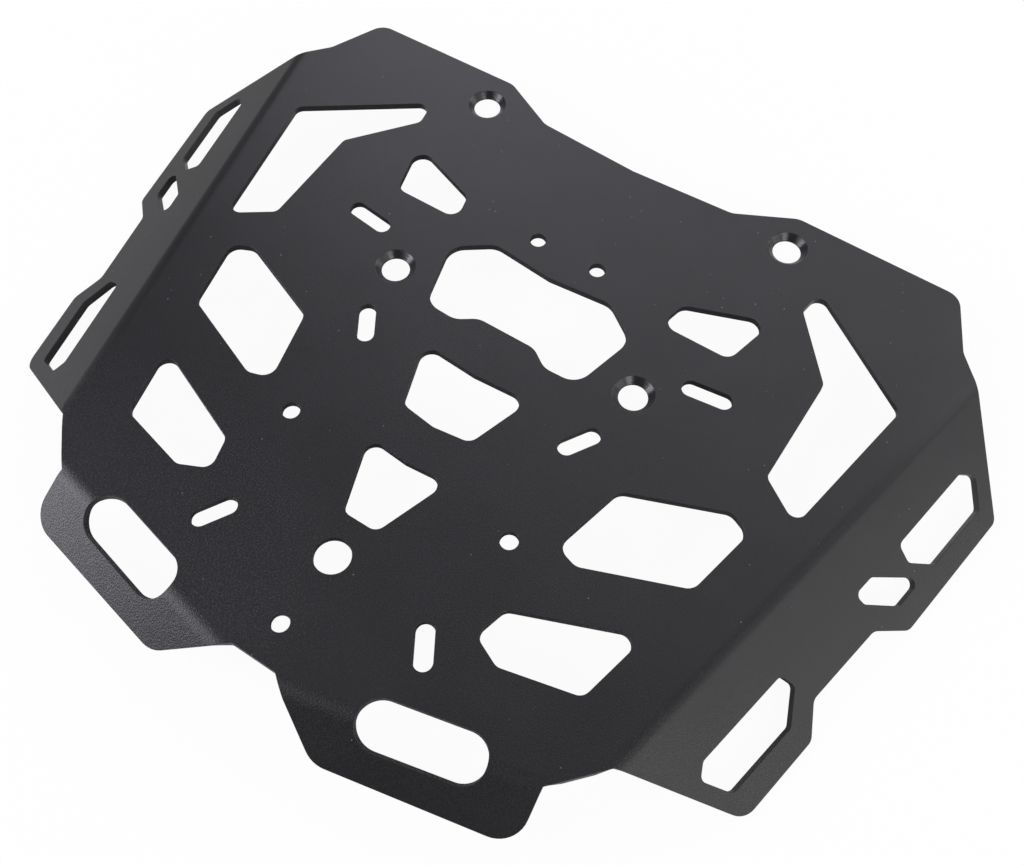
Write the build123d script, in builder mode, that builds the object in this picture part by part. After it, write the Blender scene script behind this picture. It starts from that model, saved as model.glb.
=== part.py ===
"""Motorcycle luggage rack: one aluminium sheet, laser cut and folded along four lines, in millimetres.

X runs along the centre line towards the wide end, which is called the front here, Y to the left and Z up.
The underside of the plate lies on Z = 0, and X = 0 is at the pair of countersunk holes near the middle.
"""
import os
from math import cos, radians, sin, sqrt, tan

from build123d import *

os.makedirs("parts", exist_ok=True)

# Sheet
sheet_thickness = 3.0
bend_inner_radius = 10.0
neutral_share = 0.42  # depth of the layer that keeps its length in a bend, from the inner face

# Side wings: where each points, how far its fold line lies from the origin and how far it is folded down
wing_heading_angle = 102.0
wing_offset = 145.1
wing_angle = 29.4

# End tabs, likewise
tab_heading_angle = 167.35
tab_offset = 162.5
tab_angle = 31.5

# Plate outline, left half: the wide end, then the corner in front of the wing
wide_end = [(97.0, 0.0), (99.5, 46.5), (112.0, 71.5), (111.0, 143.5)]
wing_shoulder = (86.5, 155.0)
plate_corner_radius = 8.0

# Wing outline, as places along and out from the fold line
wing_edge = [(-77.5, 43.7), (-19.5, 46.2), (-8.0, 36.1), (27.0, 36.1), (37.5, 45.7), (74.0, 46.2)]
wing_root = 97.2
wing_corner_radius = 4.5
wing_tip_radius = 8.0  # of the wing's rear corner

# Tab outline, likewise
tab_edge = [(-69.0, 22.2), (4.0, 20.7)]
tab_corner_radius = 11.0
side_inset = 12.4  # of the tab's outer root, from the line of the wing's fold
tab_gap = 18.6  # width of the plate's edge between the two tabs
tab_gap_depth = 0.6  # by which that edge lies in front of the bends
tab_gap_radius = 2.0

# Strap slot across each tab's bend, as in the flat sheet
strap_slot_length = 46.5
strap_slot_width = 18.0
strap_slot_place = -29.0
strap_slot_out = 0.4  # centre line of the slot, out from the middle of the bend

# Openings of the plate, left one of each pair
corner_opening = [(-16.0, 132.5), (48.0, 145.0), (82.5, 95.5), (70.5, 93.5), (43.5, 115.5), (-4.0, 115.0)]
corner_opening_radius = 4.0
front_opening = [(34.0, 79.5), (59.0, 86.0), (46.5, 52.0), (34.0, 49.0)]
front_opening_radius = 5.0
middle_opening = [
    (-28.0, 120.0), (-24.0, 111.0), (-39.0, 72.5), (-69.5, 65.0), (-72.5, 74.5), (-57.5, 113.5),
]
middle_opening_radius = 5.5
rear_opening = [(-111.0, 101.0), (-81.5, 108.0), (-99.5, 62.5), (-112.5, 59.0), (-118.0, 71.0)]
rear_opening_radius = 4.5

# Openings on the centre line, left half of each
centre_opening = [(29.0, 0.0), (31.5, 27.5), (20.5, 43.0), (-8.0, 35.5), (-8.5, 21.0), (-3.0, 13.0)]
centre_opening_radius = 8.5
centre_window = [(-26.0, 0.0), (-24.5, 24.5), (-51.5, 15.5), (-53.5, 0.0)]
centre_window_radius = 5.0
rear_window = [(-71.5, 0.0), (-70.0, 18.0), (-100.0, 7.5)]
rear_window_radius = 4.5

# Openings of a wing, as places along and out from its fold line
wing_front_opening = [
    (-77.5, 20.0), (-38.0, 21.0), (-36.5, 28.5), (-45.0, 36.6), (-75.0, 35.6), (-83.0, 25.0),
]
wing_middle_opening = [(-20.5, 21.5), (-11.0, 21.5), (-11.5, 26.5), (-22.5, 37.1), (-37.5, 36.6)]
wing_rear_opening = [(31.5, 21.0), (72.5, 21.0), (77.5, 25.0), (71.5, 36.6), (40.5, 36.6), (29.5, 27.5)]
wing_opening_radius = 2.5

# Countersunk fixing holes, as the X of each pair and its spacing
fixing_pairs = [(0.0, 112.5), (95.5, 149.0)]
fixing_hole_diameter = 11.6
countersink_diameter = 16.6
countersink_angle = 90.0

# Plain round holes
front_hole_x = 43.0
front_hole_spacing = 28.5
front_hole_diameter = 6.6
rear_hole_x = -77.0
rear_hole_spacing = 99.0
end_hole_x = -145.5
rear_hole_diameter = 7.0
cable_hole_x = -116.0
cable_hole_diameter = 14.0

# Small slots, left one of each pair, with its angle from +X
slot_width = 7.0
front_slot_centre = (15.0, 80.0)
front_slot_length = 20.5
front_slot_angle = 83.0
middle_slot_centre = (-29.0, 49.5)
middle_slot_length = 17.6
middle_slot_angle = 32.0
rear_slot_centre = (-125.5, 46.5)
rear_slot_length = 17.8
rear_slot_angle = 149.0

bend_sections = 5  # cross-sections through which the cut edges of half a bend run
skin = 1.0  # by which the trimming body of a bend stands clear of the sheet


class Fold:
    """A straight bend that turns a flange down from the plate.

    A place on it is p along the fold line and q out from it, where the fold line is the crossing of the top
    faces of plate and flange. Both faces end at a set-back from that line, and the bend lies between them.
    """

    def __init__(self, heading, offset, angle):
        self.out = Vector(cos(radians(heading)), sin(radians(heading)), 0)
        self.along = Vector(-sin(radians(heading)), cos(radians(heading)), 0)
        self.up = Vector(0, 0, 1)
        self.offset = offset
        self.angle = angle
        self.set_back = (bend_inner_radius + sheet_thickness) * tan(radians(angle) / 2)
        self.length = (bend_inner_radius + neutral_share * sheet_thickness) * radians(angle)
        self.centre = self.out * (offset - self.set_back) - self.up * bend_inner_radius

    def on_plate(self, p, q):
        """Place of p, q in the plan of the plate."""
        place = self.along * p + self.out * (self.offset + q)
        return place.X, place.Y

    def at_width(self, y, q):
        """Place of q in the plan of the plate, at a distance y from the centre line."""
        return (self.offset + q - self.out.Y * y) / self.out.X, y

    def crossing(self, q, other, other_q):
        """Place in the plan of the plate that lies q out from this fold line and other_q out from another."""
        reach, other_reach = self.offset + q, other.offset + other_q
        spread = self.out.X * other.out.Y - self.out.Y * other.out.X
        x = (reach * other.out.Y - other_reach * self.out.Y) / spread
        y = (other_reach * self.out.X - reach * other.out.X) / spread
        return Vector(x, y, 0)

    def from_plate(self, x, y):
        """The p, q of a place on the plate."""
        place = Vector(x, y, 0)
        return place.dot(self.along), place.dot(self.out) - self.offset

    def flange_plane(self):
        """Plane of the flange's top face, with p and q as its axes and its normal into the sheet."""
        normal = self.out * sin(radians(self.angle)) + self.up * cos(radians(self.angle))
        fold_line = self.out * self.offset + self.up * sheet_thickness
        return Plane(fold_line, x_dir=self.along, z_dir=-normal)

    def section_plane(self, share):
        """Plane across the sheet at a share of the bend, with p and the bend's radius as its axes."""
        swing = radians(self.angle * share)
        return Plane(self.centre, x_dir=self.along, z_dir=self.out * cos(swing) - self.up * sin(swing))

    def straight_cut(self, start, end):
        """The p at both ends of the bend of a cut from plate to flange, straight in the flat sheet."""
        (start_p, start_q), (end_p, end_q) = start, end
        plate_run = -self.set_back - start_q
        slope = (end_p - start_p) / (plate_run + self.length + end_q - self.set_back)
        return start_p + slope * plate_run, start_p + slope * (plate_run + self.length)

    def half_bend(self, low, high, first):
        """Half of the bend, from a first share on, between two cut edges given as p at a share."""
        shares = [first + 0.5 * i / (bend_sections - 1) for i in range(bend_sections)]
        least = min(low(share) for share in shares) - skin
        most = max(high(share) for share in shares) + skin
        outer = bend_inner_radius + sheet_thickness
        with BuildPart() as half:
            with BuildSketch(self.section_plane(first)):
                inner = bend_inner_radius
                Polygon((least, inner), (most, inner), (most, outer), (least, outer), align=None)
            revolve(axis=Axis(self.centre, self.along), revolution_arc=self.angle / 2)
            for share in shares:
                left, right = low(share), high(share)
                inside, outside = bend_inner_radius - skin, outer + skin
                with BuildSketch(self.section_plane(share)):
                    Polygon((left, inside), (right, inside), (right, outside), (left, outside), align=None)
            loft(mode=Mode.INTERSECT)
        return half.part

    def strip(self, low, high):
        """The bend between two cut edges, in two halves, so that an edge can turn a corner midway."""
        return [self.half_bend(low, high, first) for first in (0, 0.5)]


def straight_edge(start, end):
    """A cut edge that runs straight across a bend in the flat sheet."""
    return lambda share: start + (end - start) * share


def corner_edge(start, corner, end):
    """A cut edge that turns a sharp corner in the middle of a bend."""

    def edge(share):
        return corner + (start - corner) * max(1 - 2 * share, 0) + (end - corner) * max(2 * share - 1, 0)

    return edge


def mirrored(half):
    """Closed outline from its left half."""
    return half + [(x, -y) for x, y in reversed(half) if y > 0]


def opening(points, radius):
    """Cut an outline with rounded corners out of the sketch."""
    with BuildLine() as rim:
        FilletPolyline(*points, radius=radius, close=True)
    make_face(rim.edges(), mode=Mode.SUBTRACT)


wing_fold = Fold(wing_heading_angle, wing_offset, wing_angle)
tab_fold = Fold(tab_heading_angle, tab_offset, tab_angle)

# Side edge between wing and tab: it runs straight from one fold line to the other
side_front = Vector(*wing_fold.on_plate(wing_root, 0), 0)
side_rear = wing_fold.crossing(-side_inset, tab_fold, 0)
side_lead = -tab_fold.from_plate(side_front.X, side_front.Y)[1]
side_at_wing = side_front + (side_rear - side_front) * (wing_fold.set_back / side_inset)
side_at_tab = side_rear + (side_front - side_rear) * (tab_fold.set_back / side_lead)

# Wing bend, from the side edge to the edge that runs straight from the plate's shoulder to the wing
wing_front_start, wing_front_end = wing_fold.straight_cut(wing_fold.from_plate(*wing_shoulder), wing_edge[0])
wing_rear_start = wing_fold.from_plate(side_at_wing.X, side_at_wing.Y)[0]
wing_rear_end = wing_root + (wing_edge[-1][0] - wing_root) * wing_fold.set_back / wing_edge[-1][1]
wing_bend = wing_fold.strip(
    straight_edge(wing_front_start, wing_front_end),
    corner_edge(wing_rear_start, wing_root, wing_rear_end),
)

# Tab bend, in two strips beside the strap slot
gap_corner = tab_fold.at_width(tab_gap / 2, -tab_fold.set_back - tab_gap_depth)
tab_inner_start, tab_inner_end = tab_fold.straight_cut(tab_fold.from_plate(*gap_corner), tab_edge[1])
tab_outer_start = tab_fold.from_plate(side_at_tab.X, side_at_tab.Y)[0]
tab_outer_root = tab_fold.from_plate(side_rear.X, side_rear.Y)[0]
tab_outer_end = tab_outer_root + (tab_edge[0][0] - tab_outer_root) * tab_fold.set_back / tab_edge[0][1]


def strap_slot_end(side):
    """Rounded end of the strap slot where it crosses the bend, on the side of lower or higher p."""

    def edge(share):
        out = (share - 0.5) * tab_fold.length - strap_slot_out
        reach = (strap_slot_length - strap_slot_width) / 2 + sqrt((strap_slot_width / 2) ** 2 - out**2)
        return strap_slot_place + side * reach

    return edge


tab_outer_edge = corner_edge(tab_outer_start, tab_outer_root, tab_outer_end)
tab_inner_edge = straight_edge(tab_inner_start, tab_inner_end)
tab_outer_bend = tab_fold.strip(tab_outer_edge, strap_slot_end(-1))
tab_inner_bend = tab_fold.strip(strap_slot_end(1), tab_inner_edge)
flat_gain = tab_fold.set_back - tab_fold.length / 2
slot_q_on_plate = strap_slot_out - flat_gain
slot_q_on_tab = strap_slot_out + flat_gain

# Left wing
with BuildPart() as wing:
    with BuildSketch(wing_fold.flange_plane()):
        wing_outline = [(wing_front_end, wing_fold.set_back), *wing_edge, (wing_rear_end, wing_fold.set_back)]
        wing_radii = [wing_corner_radius] * (len(wing_edge) - 1) + [wing_tip_radius]
        with BuildLine():
            FilletPolyline(*wing_outline, radius=[0, *wing_radii, 0], close=True)
        make_face()
        for outline in (wing_front_opening, wing_middle_opening, wing_rear_opening):
            opening(outline, wing_opening_radius)
    extrude(amount=sheet_thickness)

# Left tab
with BuildPart() as tab:
    with BuildSketch(tab_fold.flange_plane()):
        tab_outline = [(tab_outer_end, tab_fold.set_back), *tab_edge, (tab_inner_end, tab_fold.set_back)]
        with BuildLine():
            FilletPolyline(*tab_outline, radius=[0, *[tab_corner_radius] * len(tab_edge), 0], close=True)
        make_face()
        with Locations((strap_slot_place, slot_q_on_tab)):
            SlotOverall(strap_slot_length, strap_slot_width, mode=Mode.SUBTRACT)
    extrude(amount=sheet_thickness)

# The whole rack: the plate with its openings and holes, joined to the wings and tabs through their bends
with BuildPart() as rack_plate:
    with BuildSketch():
        wing_start = wing_fold.on_plate(wing_front_start, -wing_fold.set_back)
        outline_half = [*wide_end, wing_shoulder, wing_start]
        outline_half += [(side_at_wing.X, side_at_wing.Y), (side_at_tab.X, side_at_tab.Y)]
        outline_half += [tab_fold.on_plate(tab_inner_start, -tab_fold.set_back), gap_corner]
        corner_radii = [0.0] + [plate_corner_radius] * len(wide_end) + [0.0] * 4 + [tab_gap_radius]
        with BuildLine():
            FilletPolyline(*mirrored(outline_half), radius=corner_radii + corner_radii[:0:-1], close=True)
        make_face()
        for side in (1, -1):
            for outline, radius in (
                (corner_opening, corner_opening_radius),
                (front_opening, front_opening_radius),
                (middle_opening, middle_opening_radius),
                (rear_opening, rear_opening_radius),
            ):
                opening([(x, side * y) for x, y in outline], radius)
            strap_slot_centre = tab_fold.on_plate(strap_slot_place, slot_q_on_plate)
            for (x, y), length, width, angle in (
                (front_slot_centre, front_slot_length, slot_width, front_slot_angle),
                (middle_slot_centre, middle_slot_length, slot_width, middle_slot_angle),
                (rear_slot_centre, rear_slot_length, slot_width, rear_slot_angle),
                (strap_slot_centre, strap_slot_length, strap_slot_width, tab_heading_angle + 90),
            ):
                with Locations((x, side * y)):
                    SlotOverall(length, width, rotation=side * angle, mode=Mode.SUBTRACT)
            with Locations((front_hole_x, side * front_hole_spacing / 2)):
                Circle(front_hole_diameter / 2, mode=Mode.SUBTRACT)
            with Locations((rear_hole_x, side * rear_hole_spacing / 2)):
                Circle(rear_hole_diameter / 2, mode=Mode.SUBTRACT)
        opening(mirrored(centre_opening), centre_opening_radius)
        opening(mirrored(centre_window), centre_window_radius)
        opening(mirrored(rear_window), rear_window_radius)
        with Locations((end_hole_x, 0)):
            Circle(rear_hole_diameter / 2, mode=Mode.SUBTRACT)
        with Locations((cable_hole_x, 0)):
            Circle(cable_hole_diameter / 2, mode=Mode.SUBTRACT)
    extrude(amount=sheet_thickness)
    for x, spacing in fixing_pairs:
        with Locations((x, spacing / 2, sheet_thickness), (x, -spacing / 2, sheet_thickness)):
            CounterSinkHole(
                fixing_hole_diameter / 2,
                countersink_diameter / 2,
                counter_sink_angle=countersink_angle,
            )
    for piece in (*wing_bend, wing.part, *tab_outer_bend, *tab_inner_bend, tab.part):
        add(piece)
        mirror(piece, about=Plane.XZ)

rack_plate.part.label = "rack_plate"
export_step(rack_plate.part, "parts/rack_plate.step")
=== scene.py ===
from math import cos, pi, radians, sin, sqrt

import bmesh
import bpy
import numpy as np
from mathutils import Matrix, Vector


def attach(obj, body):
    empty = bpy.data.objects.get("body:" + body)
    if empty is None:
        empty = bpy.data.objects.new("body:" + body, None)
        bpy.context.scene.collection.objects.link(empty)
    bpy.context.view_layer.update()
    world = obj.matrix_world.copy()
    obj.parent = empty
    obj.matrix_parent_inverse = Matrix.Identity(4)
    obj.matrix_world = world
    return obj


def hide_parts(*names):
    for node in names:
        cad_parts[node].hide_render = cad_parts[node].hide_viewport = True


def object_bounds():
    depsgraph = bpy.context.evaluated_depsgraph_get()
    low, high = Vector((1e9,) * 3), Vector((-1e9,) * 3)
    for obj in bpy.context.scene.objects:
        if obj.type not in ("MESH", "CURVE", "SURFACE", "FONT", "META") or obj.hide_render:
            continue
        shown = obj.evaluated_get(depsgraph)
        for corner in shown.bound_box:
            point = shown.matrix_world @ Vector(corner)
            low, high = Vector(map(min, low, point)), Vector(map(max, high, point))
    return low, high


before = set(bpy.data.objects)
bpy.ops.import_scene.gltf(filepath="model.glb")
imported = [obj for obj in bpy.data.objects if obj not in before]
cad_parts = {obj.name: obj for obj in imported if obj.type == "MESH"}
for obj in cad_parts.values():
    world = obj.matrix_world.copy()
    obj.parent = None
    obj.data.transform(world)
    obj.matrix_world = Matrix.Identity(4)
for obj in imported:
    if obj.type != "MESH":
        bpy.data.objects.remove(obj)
cad_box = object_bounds()

# Rack plate: one aluminium sheet, laser cut and folded down along four lines, so that it makes
# a flat top with two side wings and two end tabs. Its cut edges were eased before coating,
# and the coat rounds them further. It rests on the lowest points of the wings.
edge_round = 0.2e-3
edge_round_steps = 2
sharp_angle = radians(25)
join_distance = 1e-6
flat_angle = radians(0.3)


def merged_sheet(node):
    """Mesh of the folded sheet with loose triangles joined and flat neighbours made one face."""
    work = bmesh.new()
    work.from_mesh(node.data)
    bmesh.ops.remove_doubles(work, verts=work.verts, dist=join_distance)
    bmesh.ops.dissolve_limit(work, angle_limit=flat_angle, verts=work.verts, edges=work.edges)
    mesh = bpy.data.meshes.new("coated_rack_plate")
    work.to_mesh(mesh)
    work.free()
    return mesh


sheet_mesh = merged_sheet(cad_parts["rack_plate"])
sheet_mesh.materials.clear()
face_count = len(sheet_mesh.polygons)
sheet_mesh.polygons.foreach_set("use_smooth", np.ones(face_count, bool))
rack_plate = bpy.data.objects.new("coated_rack_plate", sheet_mesh)
bpy.context.scene.collection.objects.link(rack_plate)
rounding = rack_plate.modifiers.new("eased edges", "BEVEL")
rounding.width = edge_round
rounding.segments = edge_round_steps
rounding.limit_method = "ANGLE"
rounding.angle_limit = sharp_angle
rounding.use_clamp_overlap = False
rack_plate.modifiers.new("flat faces", "WEIGHTED_NORMAL").keep_sharp = False
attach(rack_plate, "root")
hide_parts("rack_plate")


def srgb(code):
    """Linear colour of an sRGB hex code."""
    values = [int(code[i:i + 2], 16) / 255 for i in (1, 3, 5)]
    return [v / 12.92 if v <= 0.04045 else ((v + 0.055) / 1.055) ** 2.4 for v in values] + [1.0]


def add_node(tree, kind, inputs=None, **settings):
    """A new node with its settings; an input is a value, or another node's output to link."""
    node = tree.nodes.new(kind)
    for name, value in settings.items():
        setattr(node, name, value)
    for key, value in (inputs or {}).items():
        if isinstance(value, bpy.types.NodeSocket):
            tree.links.new(value, node.inputs[key])
        else:
            node.inputs[key].default_value = value
    return node


def new_material(name):
    """An empty node material and its output node."""
    material = bpy.data.materials.new(name)
    material.use_nodes = True
    material.node_tree.nodes.clear()
    return material, material.node_tree, add_node(material.node_tree, "ShaderNodeOutputMaterial")


def oval_distance(tree, place, centre, half):
    """Distance of a place from a centre, each axis as a share of an oval's half size along it."""
    apart = add_node(tree, "ShaderNodeVectorMath", {0: place, 1: centre}, operation="SUBTRACT")
    shares = add_node(tree, "ShaderNodeVectorMath", {0: apart.outputs["Vector"], 1: half},
                      operation="DIVIDE")
    length = add_node(tree, "ShaderNodeVectorMath", {0: shares.outputs["Vector"]},
                      operation="LENGTH")
    return length.outputs["Value"]


# Powder-coated aluminium, baked black with a fine sand texture: the grains break each reflection
# into a soft sheen. The coat lies thicker towards the tabs, where its sand stands out more. The
# grain tops are drawn a little lighter everywhere, and along the left tab a painted sheen on them
# makes them lighter still. A few specks of dust lie everywhere.
coat_dark, coat_light = srgb("#18171a"), srgb("#1d1c1f")
# Lighter colour of the grain tops: the coat's own grain, and near the left tab also painted sheen.
grain_and_sheen_tops, dust_speck = srgb("#363539"), srgb("#67666d")
coat_gloss = (0.38, 0.46)
coat_ior = 1.5
noise_span = (0.3, 0.7)
# Real grains are 0.3 to 0.5 mm wide, and are drawn coarser, so that they show.
grain_size = 0.6e-3
grain_height = 0.11e-3
grain_tops = (0.5, 0.75)
thick_coat_end = -0.135
thin_coat_end = -0.070
thin_coat_sand = 0.4
# Where the painted sheen on the grain tops lies, and the share of plain lighter grain elsewhere.
grain_sheen_centre = (-0.140, 0.085, 0.0)
grain_sheen_half = (0.045, 0.085, 1.0)
grain_sheen_fade = (0.85, 1.35)
plain_grain_share = 0.12
swell_size = 30e-3
dust_spacing = 4.2e-3
dust_radius = 0.3e-3
dust_free_share = 0.45

powder_coat, tree, output = new_material("black sand-textured powder coat")
place = add_node(tree, "ShaderNodeTexCoord").outputs["Object"]
grain = add_node(tree, "ShaderNodeTexNoise", {
    "Vector": place, "Scale": 1 / grain_size, "Detail": 1.0, "Roughness": 0.4})
along = add_node(tree, "ShaderNodeSeparateXYZ", {"Vector": place})
sand = add_node(tree, "ShaderNodeMapRange", {
    "Value": along.outputs["X"], "From Min": thick_coat_end, "From Max": thin_coat_end,
    "To Min": 1.0, "To Max": thin_coat_sand}, interpolation_type="SMOOTHSTEP")
# Painted sheen: near the left tab the grain tops are drawn lighter, as if catching the light.
sheen_near_left_tab = add_node(tree, "ShaderNodeMapRange", {
    "Value": oval_distance(tree, place, grain_sheen_centre, grain_sheen_half),
    "From Min": grain_sheen_fade[0], "From Max": grain_sheen_fade[1],
    "To Min": 1.0, "To Max": plain_grain_share}, interpolation_type="SMOOTHSTEP")
swell = add_node(tree, "ShaderNodeTexNoise", {
    "Vector": place, "Scale": 1 / swell_size, "Detail": 2.0})
tone = add_node(tree, "ShaderNodeMapRange", {
    "Value": swell.outputs["Fac"], "From Min": noise_span[0], "From Max": noise_span[1]})
shade = add_node(tree, "ShaderNodeMix", {
    "Factor": tone.outputs["Result"], "A": coat_dark, "B": coat_light}, data_type="RGBA")
tops = add_node(tree, "ShaderNodeMapRange", {
    "Value": grain.outputs["Fac"], "From Min": grain_tops[0], "From Max": grain_tops[1],
    "To Min": 0.0, "To Max": sheen_near_left_tab.outputs["Result"]})
sanded = add_node(tree, "ShaderNodeMix", {
    "Factor": tops.outputs["Result"], "A": shade.outputs["Result"], "B": grain_and_sheen_tops},
    data_type="RGBA")
dust = add_node(tree, "ShaderNodeTexVoronoi", {"Vector": place, "Scale": 1 / dust_spacing})
chance = add_node(tree, "ShaderNodeSeparateColor", {"Color": dust.outputs["Color"]})
reach = add_node(tree, "ShaderNodeMapRange", {
    "Value": chance.outputs["Red"], "From Min": dust_free_share, "From Max": 1.0,
    "To Min": 0.0, "To Max": dust_radius / dust_spacing})
speck = add_node(tree, "ShaderNodeMath", {
    0: dust.outputs["Distance"], 1: reach.outputs["Result"]}, operation="LESS_THAN")
dusted = add_node(tree, "ShaderNodeMix", {
    "Factor": speck.outputs["Value"], "A": sanded.outputs["Result"], "B": dust_speck},
    data_type="RGBA")
gloss = add_node(tree, "ShaderNodeMapRange", {
    "Value": grain.outputs["Fac"], "From Min": noise_span[0], "From Max": noise_span[1],
    "To Min": coat_gloss[0], "To Max": coat_gloss[1]})
bumps = add_node(tree, "ShaderNodeBump", {
    "Height": grain.outputs["Fac"], "Distance": grain_height, "Strength": sand.outputs["Result"]})
coat = add_node(tree, "ShaderNodeBsdfPrincipled", {
    "Base Color": dusted.outputs["Result"], "Roughness": gloss.outputs["Result"],
    "Normal": bumps.outputs["Normal"], "IOR": coat_ior})
tree.links.new(coat.outputs["BSDF"], output.inputs["Surface"])
sheet_mesh.materials.append(powder_coat)

# Countersinks: the four screw seats were turned out of the sheet with a 90 degree cutter, which
# leaves rings round each hole. The thin coat in them lets the rings show as bright sweeps of light.
countersink_radius = 8.3e-3
countersink_places = np.array([(0, 56.25), (0, -56.25), (95.5, 74.5), (95.5, -74.5)]) * 1e-3
cone_normal_rise = sqrt(0.5)
cone_normal_slack = 0.1

face_centre = np.empty(face_count * 3)
face_normal = np.empty(face_count * 3)
sheet_mesh.polygons.foreach_get("center", face_centre)
sheet_mesh.polygons.foreach_get("normal", face_normal)
face_centre = face_centre.reshape(-1, 3)
face_normal = face_normal.reshape(-1, 3)
to_seat = np.linalg.norm(face_centre[:, None, :2] - countersink_places, axis=2)
on_cone = np.abs(face_normal[:, 2] - cone_normal_rise) < cone_normal_slack
in_seat = (to_seat.min(axis=1) < countersink_radius) & on_cone
sheet_mesh.polygons.foreach_set("material_index", in_seat.astype(np.int32))


def ring_map(mesh, centres):
    """UV map of the rings: U is the distance in metres from the nearest screw axis, V the turn."""
    corner_vertex = np.empty(len(mesh.loops), np.int32)
    mesh.loops.foreach_get("vertex_index", corner_vertex)
    place = np.empty(len(mesh.vertices) * 3)
    mesh.vertices.foreach_get("co", place)
    place = place.reshape(-1, 3)[corner_vertex, :2]
    corner_count = np.empty(face_count, np.int32)
    mesh.polygons.foreach_get("loop_total", corner_count)
    face_of_corner = np.repeat(np.arange(face_count), corner_count)
    axis = centres[to_seat.argmin(axis=1)]
    middle = face_centre[:, :2] - axis
    turn_of_face = np.arctan2(middle[:, 1], middle[:, 0])
    arm = place - axis[face_of_corner]
    turn = np.arctan2(arm[:, 1], arm[:, 0]) - turn_of_face[face_of_corner]
    turn = (turn + pi) % (2 * pi) - pi + turn_of_face[face_of_corner]
    values = np.column_stack([np.hypot(arm[:, 0], arm[:, 1]), turn / (2 * pi)])
    mesh.uv_layers.new(name="rings").data.foreach_set("uv", values.astype(np.float32).ravel())


ring_map(sheet_mesh, countersink_places)
sheet_mesh.update()

# Turned aluminium under a thin black coat: the finest rings of the cutter lie closer than a pixel,
# so they are drawn as a gloss that is stretched across them, and the coarser chatter rings as a
# low ripple. Blender's wave repeats every tenth of pi at a scale of 1.
seat_colour = srgb("#222226")
seat_gloss = 0.34
seat_ior = 1.6
seat_stretch = 0.8
chatter_pitch = 0.9e-3
chatter_height = 0.02e-3

turned_seat, tree, output = new_material("turned countersink under black coat")
rings = add_node(tree, "ShaderNodeUVMap", uv_map="rings")
across_rings = add_node(tree, "ShaderNodeTangent", direction_type="UV_MAP", uv_map="rings")
chatter = add_node(tree, "ShaderNodeTexWave", {
    "Vector": rings.outputs["UV"], "Scale": pi / 10 / chatter_pitch})
ripple = add_node(tree, "ShaderNodeBump", {
    "Height": chatter.outputs["Fac"], "Distance": chatter_height, "Strength": 1.0})
seat = add_node(tree, "ShaderNodeBsdfPrincipled", {
    "Base Color": seat_colour, "Roughness": seat_gloss, "IOR": seat_ior,
    "Anisotropic": seat_stretch, "Normal": ripple.outputs["Normal"],
    "Tangent": across_rings.outputs["Tangent"]})
tree.links.new(seat.outputs["BSDF"], output.inputs["Surface"])
sheet_mesh.materials.append(turned_seat)

# Floor: a white table. The camera and the reflections see it as plain white, apart from a faint
# shadow, and under the rack the reflections see the table in the rack's own shade.
floor_height = cad_box[0].z
floor_half = 6.0
floor_colour, white = srgb("#f2f2f2"), srgb("#ffffff")
shade_centre = (-0.036, 0.0, 0.0)
shade_half = (0.150, 0.190, 1.0)
shade_fade = (0.85, 1.05)
white_share_near = 0.95
white_share_reach = (1.2, 4.0)


def seen_white(tree, reflected):
    """1 for the camera's rays, and a given share for glossy and transmitted ones."""
    path = add_node(tree, "ShaderNodeLightPath")
    bounced = add_node(tree, "ShaderNodeMath", {
        0: path.outputs["Is Glossy Ray"], 1: path.outputs["Is Transmission Ray"]},
        operation="MAXIMUM")
    mirrored = add_node(tree, "ShaderNodeMath", {0: bounced.outputs["Value"], 1: reflected},
                        operation="MULTIPLY")
    looked_at = add_node(tree, "ShaderNodeMath", {
        0: path.outputs["Is Camera Ray"], 1: mirrored.outputs["Value"]}, operation="MAXIMUM")
    return looked_at.outputs["Value"]


floor_mesh = bpy.data.meshes.new("floor")
floor_mesh.from_pydata([(x * floor_half, y * floor_half, floor_height)
                        for x, y in ((-1, -1), (1, -1), (1, 1), (-1, 1))], [], [(0, 1, 2, 3)])
floor = bpy.data.objects.new("floor", floor_mesh)
bpy.context.scene.collection.objects.link(floor)
white_table, tree, output = new_material("white table")
place = add_node(tree, "ShaderNodeTexCoord").outputs["Object"]
outward = oval_distance(tree, place, shade_centre, shade_half)
clear = add_node(tree, "ShaderNodeMapRange", {
    "Value": outward, "From Min": shade_fade[0], "From Max": shade_fade[1]},
    interpolation_type="SMOOTHSTEP")
white_share = add_node(tree, "ShaderNodeMapRange", {
    "Value": outward, "From Min": white_share_reach[0], "From Max": white_share_reach[1],
    "To Min": white_share_near, "To Max": 1.0})
seen = add_node(tree, "ShaderNodeMath", {
    0: seen_white(tree, clear.outputs["Result"]), 1: white_share.outputs["Result"]},
    operation="MULTIPLY")
lit = add_node(tree, "ShaderNodeBsdfDiffuse", {"Color": floor_colour})
glow = add_node(tree, "ShaderNodeEmission", {"Color": white, "Strength": 1.0})
mixed = add_node(tree, "ShaderNodeMixShader", {
    0: seen.outputs["Value"], 1: lit.outputs["BSDF"], 2: glow.outputs["Emission"]})
tree.links.new(mixed.outputs["Shader"], output.inputs["Surface"])
floor_mesh.materials.append(white_table)

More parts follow.
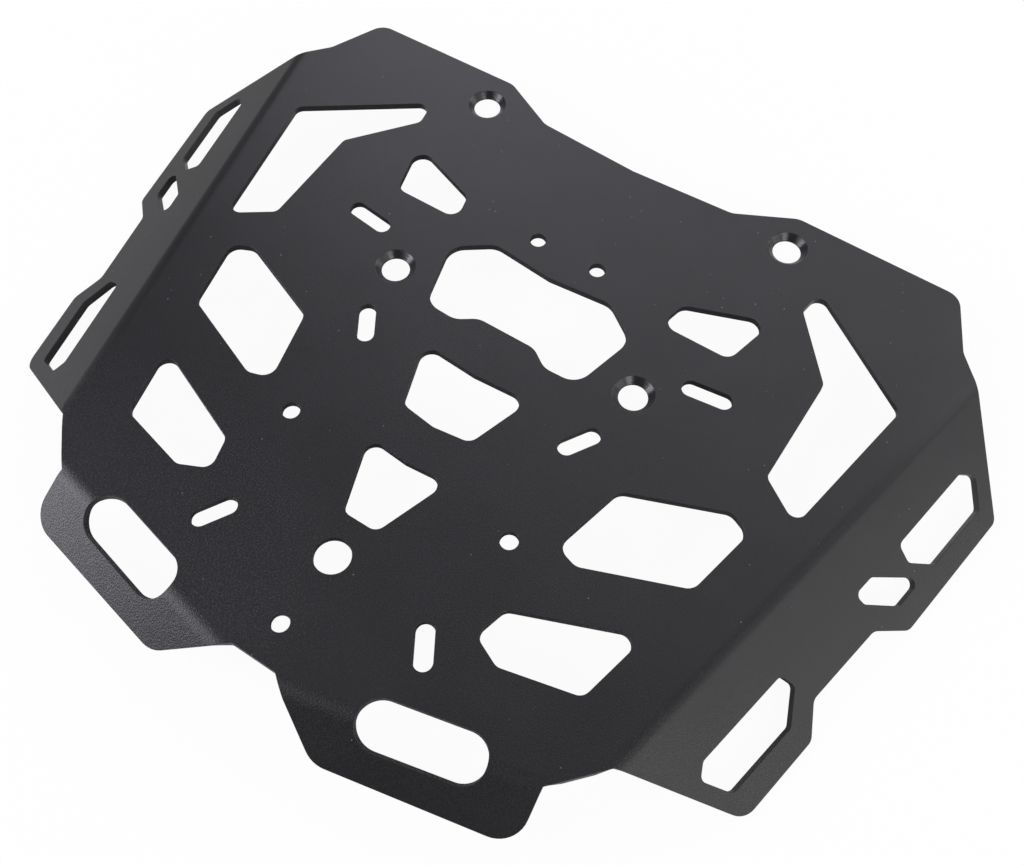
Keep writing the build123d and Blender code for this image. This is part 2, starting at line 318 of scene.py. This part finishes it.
# Studio: a dim room with a low white backdrop all round, which reflections see where it stands
# and the camera sees everywhere, and soft panels that stand round the rack at arm's length. Those
# behind it and at its left are a little cool, as daylight is, and those at its right plain white.
room_strength = 0.06
backdrop_top = 4.0
panel_distance = 1.1
panel_aim = Vector((-0.03, 0.0, 0.0))
cool = srgb("#f6f6ff")
panels = [
    # name, azimuth and elevation in degrees, width and height in metres, radiance, colour
    ("left panel", 122, 20, 0.45, 0.75, 6.8, cool),
    ("narrow left panel", 128, 36, 0.60, 0.14, 2.8, cool),
    ("high left panel", 135, 50, 0.50, 0.45, 2.8, cool),
    ("far left panel", 44, 46, 0.35, 0.30, 1.35, cool),
    ("low far left panel", 42, 34, 0.55, 0.40, 1.05, cool),
    ("far panel", 22, 30, 0.90, 0.50, 1.40, cool),
    ("high far panel", 0, 52, 0.80, 0.60, 0.99, cool),
    ("overhead panel", 0, 75, 0.60, 0.60, 0.35, cool),
    ("far right panel", 328, 30, 0.60, 0.50, 2.7, white),
    ("low right panel", 282, 12, 0.80, 0.40, 2.8, white),
    ("high right panel", 270, 40, 0.50, 0.40, 1.4, white),
    ("near right panel", 240, 33, 0.45, 0.45, 6.6, white),
]

world = bpy.data.worlds.new("studio")
bpy.context.scene.world = world
world.use_nodes = True
tree = world.node_tree
tree.nodes.clear()
outlook = add_node(tree, "ShaderNodeSeparateXYZ", {
    "Vector": add_node(tree, "ShaderNodeTexCoord").outputs["Generated"]})
backdrop = add_node(tree, "ShaderNodeMapRange", {
    "Value": outlook.outputs["Z"], "From Min": 0.0, "From Max": sin(radians(backdrop_top)),
    "To Min": 1.0, "To Max": 0.0}, interpolation_type="SMOOTHSTEP")
strength = add_node(tree, "ShaderNodeMapRange", {
    "Value": seen_white(tree, backdrop.outputs["Result"]),
    "To Min": room_strength, "To Max": 1.0})
room = add_node(tree, "ShaderNodeBackground", {
    "Color": white, "Strength": strength.outputs["Result"]})
add_node(tree, "ShaderNodeOutputWorld", {"Surface": room.outputs["Background"]})


def soft_panel(name, azimuth, elevation, width, height, radiance, colour):
    """A rectangular lamp that faces the rack; its power is radiance times area times pi."""
    lamp = bpy.data.lights.new(name, "AREA")
    lamp.shape = "RECTANGLE"
    lamp.size = width
    lamp.size_y = height
    lamp.energy = radiance * width * height * pi
    lamp.color = colour[:3]
    panel = bpy.data.objects.new(name, lamp)
    turn, rise = radians(azimuth), radians(elevation)
    towards = Vector((cos(turn) * cos(rise), sin(turn) * cos(rise), sin(rise)))
    panel.location = panel_aim + towards * panel_distance
    panel.rotation_euler = towards.to_track_quat("Z", "Y").to_euler()
    bpy.context.scene.collection.objects.link(panel)


for panel in panels:
    soft_panel(*panel)

# Camera: it stands above the right rear corner and looks down across the rack towards the wide
# end, with the picture's long side level.
camera_lens = 39.86
camera_film = 36.0
camera_place = (-0.21236, -0.13919, 0.37565)
camera_heading, camera_dip, camera_roll = 33.136, 61.003, -0.164

camera_data = bpy.data.cameras.new("camera")
camera_data.lens = camera_lens
camera_data.sensor_width = camera_film
camera_data.clip_start = 0.01
camera = bpy.data.objects.new("camera", camera_data)
camera_turn = (Matrix.Rotation(radians(camera_heading - 90), 4, "Z")
               @ Matrix.Rotation(radians(90 - camera_dip), 4, "X")
               @ Matrix.Rotation(radians(camera_roll), 4, "Z"))
camera.matrix_world = Matrix.Translation(camera_place) @ camera_turn
bpy.context.scene.collection.objects.link(camera)
bpy.context.scene.camera = camera
bpy.context.scene.view_settings.view_transform = "Standard"
